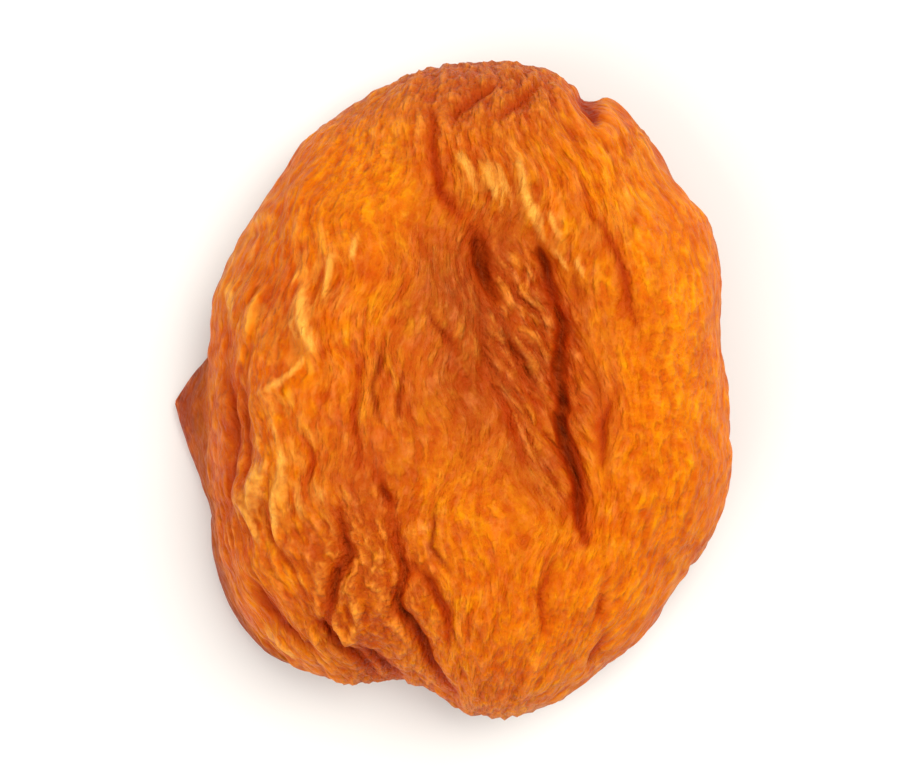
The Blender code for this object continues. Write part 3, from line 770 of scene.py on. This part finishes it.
def with_streaks_and_painted_light(paint, colour, uneven):
    """Dark streaks and light streaks of painted glints where the skin is uneven, red painted shade in the
    low places, a pale painted highlight on the high ones.
    """
    dark = paint.times(paint.streaks(0.6, 3.0, 0.5, 0.3), paint.plus(uneven, 0.12))
    colour = paint.over(colour, paint.times(dark, 0.7), "#b03600")
    # Painted glints: pale streaks over the skin, strongest where it is uneven
    light = paint.times(paint.streaks(0.45, 2.0, 0.5, 0.75), paint.plus(uneven, 0.3))
    colour = paint.over(colour, paint.times(light, 0.55), "#ff9a50")
    # Painted shade: low places and the valleys between strands darkened to red-brown
    sunk = paint.greater(paint.mask("sunk"), paint.times(paint.mask("valley"), 0.4))
    colour = paint.over(colour, paint.times(sunk, 0.7), "#a83400")
    # Painted highlight: high places lightened to pale orange, more where the skin is crumpled
    highlight_strength = paint.plus(paint.times(paint.mask("crumpled"), 0.5), 0.12)
    return paint.over(colour, paint.times(paint.mask("raised"), highlight_strength), "#ff9c34")


def with_pale_strands(paint, colour):
    """Straw-coloured strands where the skin's fibres stand up: in patches, on ridges and in strips."""
    standing = paint.plus(paint.times(paint.mask("raised"), 0.6), 0.4)
    pale = paint.times(paint.times(paint.mask("pale"), standing), paint.streaks(0.7, 1.5, 0.48, 0.6))
    colour = paint.over(colour, paint.times(pale, 0.8), "#ffb848")
    ridge = paint.times(paint.mask("ridge"), paint.streaks(0.9, 1.0, 0.3, 0.5))
    colour = paint.over(colour, paint.times(ridge, 0.45), "#ffb040")
    gaps = paint.times(paint.streaks(0.45, 3.0, 0.65, 0.35), 0.6)
    frayed = paint.spread(paint.minus(paint.mask("strip"), gaps), 0.0, 0.8)
    return paint.over(colour, paint.times(frayed, 0.75), "#ffb84c")


def with_creases(paint, colour, pinched):
    """Creases, from brick red at their edges to dark brown of painted shade at their deepest, with painted
    shade in the pinched valleys between folds.
    """
    colour = paint.over(colour, paint.times(paint.mask("crease"), 1.6), "#b43200")
    # Painted shade: fine creases darkened to deep brown
    colour = paint.over(colour, paint.times(paint.mask("fine_crease"), 0.85), "#7c2000")
    # Painted shade: the big creases darkened to dark brown at their deepest
    colour = paint.over(colour, paint.spread(paint.mask("crease"), 0.35, 1.0), "#701a00")
    # Painted shade: the pinched valleys between crinkled folds darkened to red-brown
    return paint.over(colour, paint.times(pinched, 0.8), "#a83c08")


def with_rim_and_flesh(paint, skin, pebbles):
    """The underside of the rim darkened to brown with painted shade, the flap, the clear red-brown flesh
    and the dark cup.
    """
    # Painted shade: the skin darkened to brown where it turns under towards the ground
    skin = paint.over(skin, paint.times(paint.mask("under"), 0.85), "#7e3216")
    flesh = paint.mix(paint.speckle(1.6, 4.0, 0.3, 0.7), srgb("#7c2c0e"), srgb("#b85418"))
    cup = paint.mix(paint.speckle(3.0, 3.0, 0.35, 0.6), srgb("#34120a"), srgb("#7c3014"))
    # The flesh's tint follows the bump's pebbles: its own tone, with painted shade low and painted
    # highlight high
    flesh = paint.tinted(pebbles, paint.mix(paint.mask("cup"), flesh, cup), *FLESH_TINTS)
    flap = paint.mix(paint.speckle(1.4, 2.0, 0.45, 0.6), srgb("#983818"), srgb("#c0581c"))
    return paint.mix(paint.mask("flesh"), paint.mix(paint.mask("flap"), skin, flap), flesh)


def add_grain_relief(paint, relief):
    """Grain finer than the mesh, which breaks up the light on the skin."""
    height = {"Strength": 1.0, "Distance": GRAIN_HEIGHT, "Height": relief}
    bump = add_node(paint.tree, "ShaderNodeBump", height).outputs["Normal"]
    paint.tree.links.new(bump, paint.shader.inputs["Normal"])


def add_gloss(paint):
    """A satin gloss that comes and goes, stickier on the flesh, over slightly clear flesh."""
    ends = {"Value": paint.speckle(0.8, 3.0, 0.3, 0.7), "To Min": ROUGHNESS[0], "To Max": ROUGHNESS[1]}
    rough = add_node(paint.tree, "ShaderNodeMapRange", ends).outputs["Result"]
    sticky = paint.times(paint.mask("flesh"), STICKY)
    inputs = paint.shader.inputs
    paint.tree.links.new(paint.minus(rough, sticky), inputs["Roughness"])
    inputs["IOR"].default_value = 1.40
    inputs["Specular IOR Level"].default_value = 0.2
    inputs["Specular Tint"].default_value = srgb("#ffc890")
    inputs["Subsurface Weight"].default_value = 0.15
    inputs["Subsurface Radius"].default_value = (1.0, 0.35, 0.12)
    inputs["Subsurface Scale"].default_value = CLEARNESS


def dried_skin_and_flesh():
    """Sun-dried apricot: tough satin skin that turns to clear, darker, stickier flesh at the cut."""
    paint = Paint("sun_dried_apricot")
    streaked = paint.streaks(STREAK_WIDTH, 2.0, 0.36, 0.64)
    pebbles = paint.streaks(PEBBLE_WIDTH, 2.0, 0.36, 0.64)
    wide_folds = paint.times(paint.crinkles(FOLD_WIDTHS[0], 0.16), 0.6)
    folds = paint.plus(wide_folds, paint.times(paint.crinkles(FOLD_WIDTHS[1], 0.18), 0.4))
    uneven = paint.greater(paint.mask("crumpled"), paint.mask("brown"))
    creased = paint.plus(uneven, 0.1)
    # pinched carries the painted shade in the valleys between the folds
    pinched = paint.times(paint.math_of("POWER", paint.minus(1.0, folds), 1.5), creased)
    colour = with_grain(paint, ripe_colour(paint), pebbles, streaked)
    colour = with_pale_strands(paint, with_streaks_and_painted_light(paint, colour, uneven))
    colour = with_rim_and_flesh(paint, with_creases(paint, colour, pinched), pebbles)
    paint.tree.links.new(colour, paint.shader.inputs["Base Color"])
    relief = paint.plus(paint.times(streaked, 0.25), paint.times(pebbles, 0.35))
    relief = paint.plus(relief, paint.times(paint.times(folds, creased), 0.4))
    add_grain_relief(paint, relief)
    add_gloss(paint)
    return paint.material


def dried_fibre():
    """Dry stone fibre: pale straw strands that stand out against the dark cup."""
    paint = Paint("dry_stone_fibre")
    spots = paint.noise_at(paint.place, 2.0, 2.0)
    colour = paint.mix(spots, srgb("#b0621c"), srgb("#e8a850"))
    paint.tree.links.new(colour, paint.shader.inputs["Base Color"])
    paint.shader.inputs["Roughness"].default_value = 0.55
    return paint.material


def rooted_strands(tree, inputs):
    """Curved strands rooted in the torn flesh, each with its own length and turned its own way."""
    torn = add_node(tree, "GeometryNodeInputNamedAttribute", {"Name": "torn"}).outputs["Attribute"]
    density = {0: torn, 1: inputs["Density"]}
    density = add_node(tree, "ShaderNodeMath", density, operation="MULTIPLY").outputs[0]
    roots = {"Mesh": inputs["Geometry"], "Density": density, "Seed": ROOT_SEED}
    roots = add_node(tree, "GeometryNodeDistributePointsOnFaces", roots)
    bend = {"Resolution": FIBRE_STEPS, **FIBRE_BEND}
    strand = add_node(tree, "GeometryNodeCurveQuadraticBezier", bend).outputs[0]
    spin = {"Min": (0.0, 0.0, 0.0), "Max": (0.0, 0.0, 2.0 * math.pi), "Seed": SPIN_SEED}
    spin = add_node(tree, "FunctionNodeRandomValue", spin, data_type="FLOAT_VECTOR").outputs["Value"]
    spin = add_node(tree, "FunctionNodeEulerToRotation", {0: spin}).outputs[0]
    turned = {"Rotation": roots.outputs["Rotation"], "Rotate By": spin}
    turned = add_node(tree, "FunctionNodeRotateRotation", turned, rotation_space="LOCAL").outputs[0]
    share = {2: FIBRE_SHORTEST, 3: 1.0, "Seed": LENGTH_SEED}
    length = {0: add_node(tree, "FunctionNodeRandomValue", share).outputs[1], 1: inputs["Length"]}
    length = add_node(tree, "ShaderNodeMath", length, operation="MULTIPLY").outputs[0]
    placed = {"Points": roots.outputs["Points"], "Instance": strand}
    placed = add_node(tree, "GeometryNodeInstanceOnPoints", {**placed, "Rotation": turned, "Scale": length})
    return add_node(tree, "GeometryNodeRealizeInstances", {0: placed.outputs[0]}).outputs[0]


def drifting_strands(tree, strands, along):
    """The strands bent a little off their curves, further towards their ends, and kept off the ground."""
    drift = add_node(tree, "ShaderNodeTexNoise", {"Scale": 1.0 / FIBRE_DRIFT_WIDTH}).outputs["Color"]
    drift = {0: drift, 1: (0.5, 0.5, 0.5)}
    drift = add_node(tree, "ShaderNodeVectorMath", drift, operation="SUBTRACT").outputs[0]
    reach = {0: along, 1: FIBRE_DRIFT}
    reach = add_node(tree, "ShaderNodeMath", reach, operation="MULTIPLY").outputs[0]
    drift = {0: drift, "Scale": reach}
    drift = add_node(tree, "ShaderNodeVectorMath", drift, operation="SCALE").outputs[0]
    strands = add_node(tree, "GeometryNodeSetPosition", {0: strands, "Offset": drift}).outputs[0]
    floor = (-1.0, -1.0, FIBRE_CLEARANCE)
    lifted = {0: add_node(tree, "GeometryNodeInputPosition").outputs[0], 1: floor}
    lifted = add_node(tree, "ShaderNodeVectorMath", lifted, operation="MAXIMUM").outputs[0]
    return add_node(tree, "GeometryNodeSetPosition", {0: strands, "Position": lifted}).outputs[0]


def fibre_tree(material):
    """Geometry nodes for the fibres: strands with round sides that taper to their tips."""
    tree = bpy.data.node_groups.new("torn_stone_fibres", "GeometryNodeTree")
    tree.interface.new_socket("Geometry", in_out="INPUT", socket_type="NodeSocketGeometry")
    tree.interface.new_socket("Geometry", in_out="OUTPUT", socket_type="NodeSocketGeometry")
    for name in ("Density", "Length", "Thickness"):
        tree.interface.new_socket(name, in_out="INPUT", socket_type="NodeSocketFloat")
    inputs = tree.nodes.new("NodeGroupInput").outputs
    along = add_node(tree, "GeometryNodeSplineParameter").outputs["Factor"]
    strands = drifting_strands(tree, rooted_strands(tree, inputs), along)
    taper = {"Value": along, "To Min": 1.0, "To Max": FIBRE_TIP}
    taper = add_node(tree, "ShaderNodeMapRange", taper).outputs["Result"]
    ring = {"Resolution": FIBRE_SIDES, "Radius": inputs["Thickness"]}
    ring = add_node(tree, "GeometryNodeCurvePrimitiveCircle", ring).outputs[0]
    tube = {"Curve": strands, "Profile Curve": ring, "Scale": taper, "Fill Caps": True}
    tube = add_node(tree, "GeometryNodeCurveToMesh", tube).outputs[0]
    tube = add_node(tree, "GeometryNodeRealizeInstances", {0: tube}).outputs[0]
    dressed = add_node(tree, "GeometryNodeSetMaterial", {0: tube, "Material": material}).outputs[0]
    add_node(tree, "NodeGroupOutput", {0: dressed})
    return tree


def add_fibres(half):
    """Strands of fibre that the stone left when it was pulled out, along the edge of its cup."""
    grown = bpy.data.objects.new("fibres_in_growth", half.data)
    bpy.context.scene.collection.objects.link(grown)
    modifier = grown.modifiers.new("fibres", "NODES")
    modifier.node_group = fibre_tree(dried_fibre())
    sizes = {"Density": FIBRE_DENSITY, "Length": FIBRE_LENGTH, "Thickness": FIBRE_THICKNESS}
    for socket in modifier.node_group.interface.items_tree:
        if socket.name in sizes:
            modifier[socket.identifier] = sizes[socket.name]
    evaluated = grown.evaluated_get(bpy.context.evaluated_depsgraph_get())
    data = bpy.data.meshes.new_from_object(evaluated)
    bpy.data.objects.remove(grown)
    data.name = "stone_fibres"
    data.shade_smooth()
    fibres = bpy.data.objects.new("stone_fibres", data)
    bpy.context.scene.collection.objects.link(fibres)
    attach(fibres, "root")


def dress_half():
    """Put the fine half in place of the plain solid."""
    mesh, masks, places = make_half()
    data = bpy.data.meshes.new("apricot_half_skin_and_flesh")
    mesh.to_mesh(data)
    mesh.free()
    data.shade_smooth()
    for name, values in masks.items():
        attribute = data.attributes.new(name, "FLOAT", "POINT")
        attribute.data.foreach_set("value", values.astype(np.float32))
    for name, values in places.items():
        attribute = data.attributes.new(name, "FLOAT_VECTOR", "POINT")
        attribute.data.foreach_set("vector", np.column_stack(values).astype(np.float32).ravel())
    data.materials.append(dried_skin_and_flesh())
    half = bpy.data.objects.new("apricot_half_skin_and_flesh", data)
    bpy.context.scene.collection.objects.link(half)
    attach(half, "root")
    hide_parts("apricot_half")
    return half


def floor_material():
    """Matt white paper, which shows as a pale even ground."""
    material = bpy.data.materials.new("white_paper")
    material.use_nodes = True
    shader = material.node_tree.nodes["Principled BSDF"]
    shader.inputs["Base Color"].default_value = srgb("#f4f3f0")
    shader.inputs["Roughness"].default_value = 0.9
    return material


def add_floor():
    """The plain ground that the half lies on."""
    mesh = bmesh.new()
    bmesh.ops.create_grid(mesh, x_segments=1, y_segments=1, size=FLOOR_REACH)
    data = bpy.data.meshes.new("ground")
    mesh.to_mesh(data)
    mesh.free()
    data.materials.append(floor_material())
    ground = bpy.data.objects.new("ground", data)
    bpy.context.scene.collection.objects.link(ground)


def add_light(name, place, size, power, colour):
    """A soft square light that faces the half."""
    data = bpy.data.lights.new(name, "AREA")
    data.size = size
    data.energy = power
    data.color = srgb(colour)[:3]
    light = bpy.data.objects.new(name, data)
    light.location = place
    light.rotation_euler = (-Vector(place)).to_track_quat("-Z", "Y").to_euler()
    bpy.context.scene.collection.objects.link(light)


def add_lights_and_world():
    """Soft studio light, brightest from the upper right as the picture is seen."""
    for name, (place, size, power, colour) in LIGHTS.items():
        add_light(name, place, size, power, colour)
    world = bpy.data.worlds.new("studio")
    world.use_nodes = True
    background = world.node_tree.nodes["Background"]
    background.inputs["Color"].default_value = srgb("#f4f6fa")
    background.inputs["Strength"].default_value = SKY_STRENGTH
    bpy.context.scene.world = world


def add_camera():
    """Straight down on the half, as in the photograph, with the stem end at the top."""
    data = bpy.data.cameras.new("camera")
    data.lens = LENS
    data.sensor_width = SENSOR_WIDTH
    camera = bpy.data.objects.new("camera", data)
    low, high = (np.array(corner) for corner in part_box("apricot_half"))
    middle = (low + high) / 2.0
    frame_width = (high - low)[1] / FILLED * PICTURE[0] / PICTURE[1]
    camera.location = (middle[0], middle[1], middle[2] + frame_width * LENS / SENSOR_WIDTH)
    camera.rotation_euler = (0.0, 0.0, 0.0)
    bpy.context.scene.collection.objects.link(camera)
    bpy.context.scene.camera = camera


add_camera()
add_fibres(dress_half())
add_floor()
add_lights_and_world()
bpy.context.scene.view_settings.view_transform = "Standard"
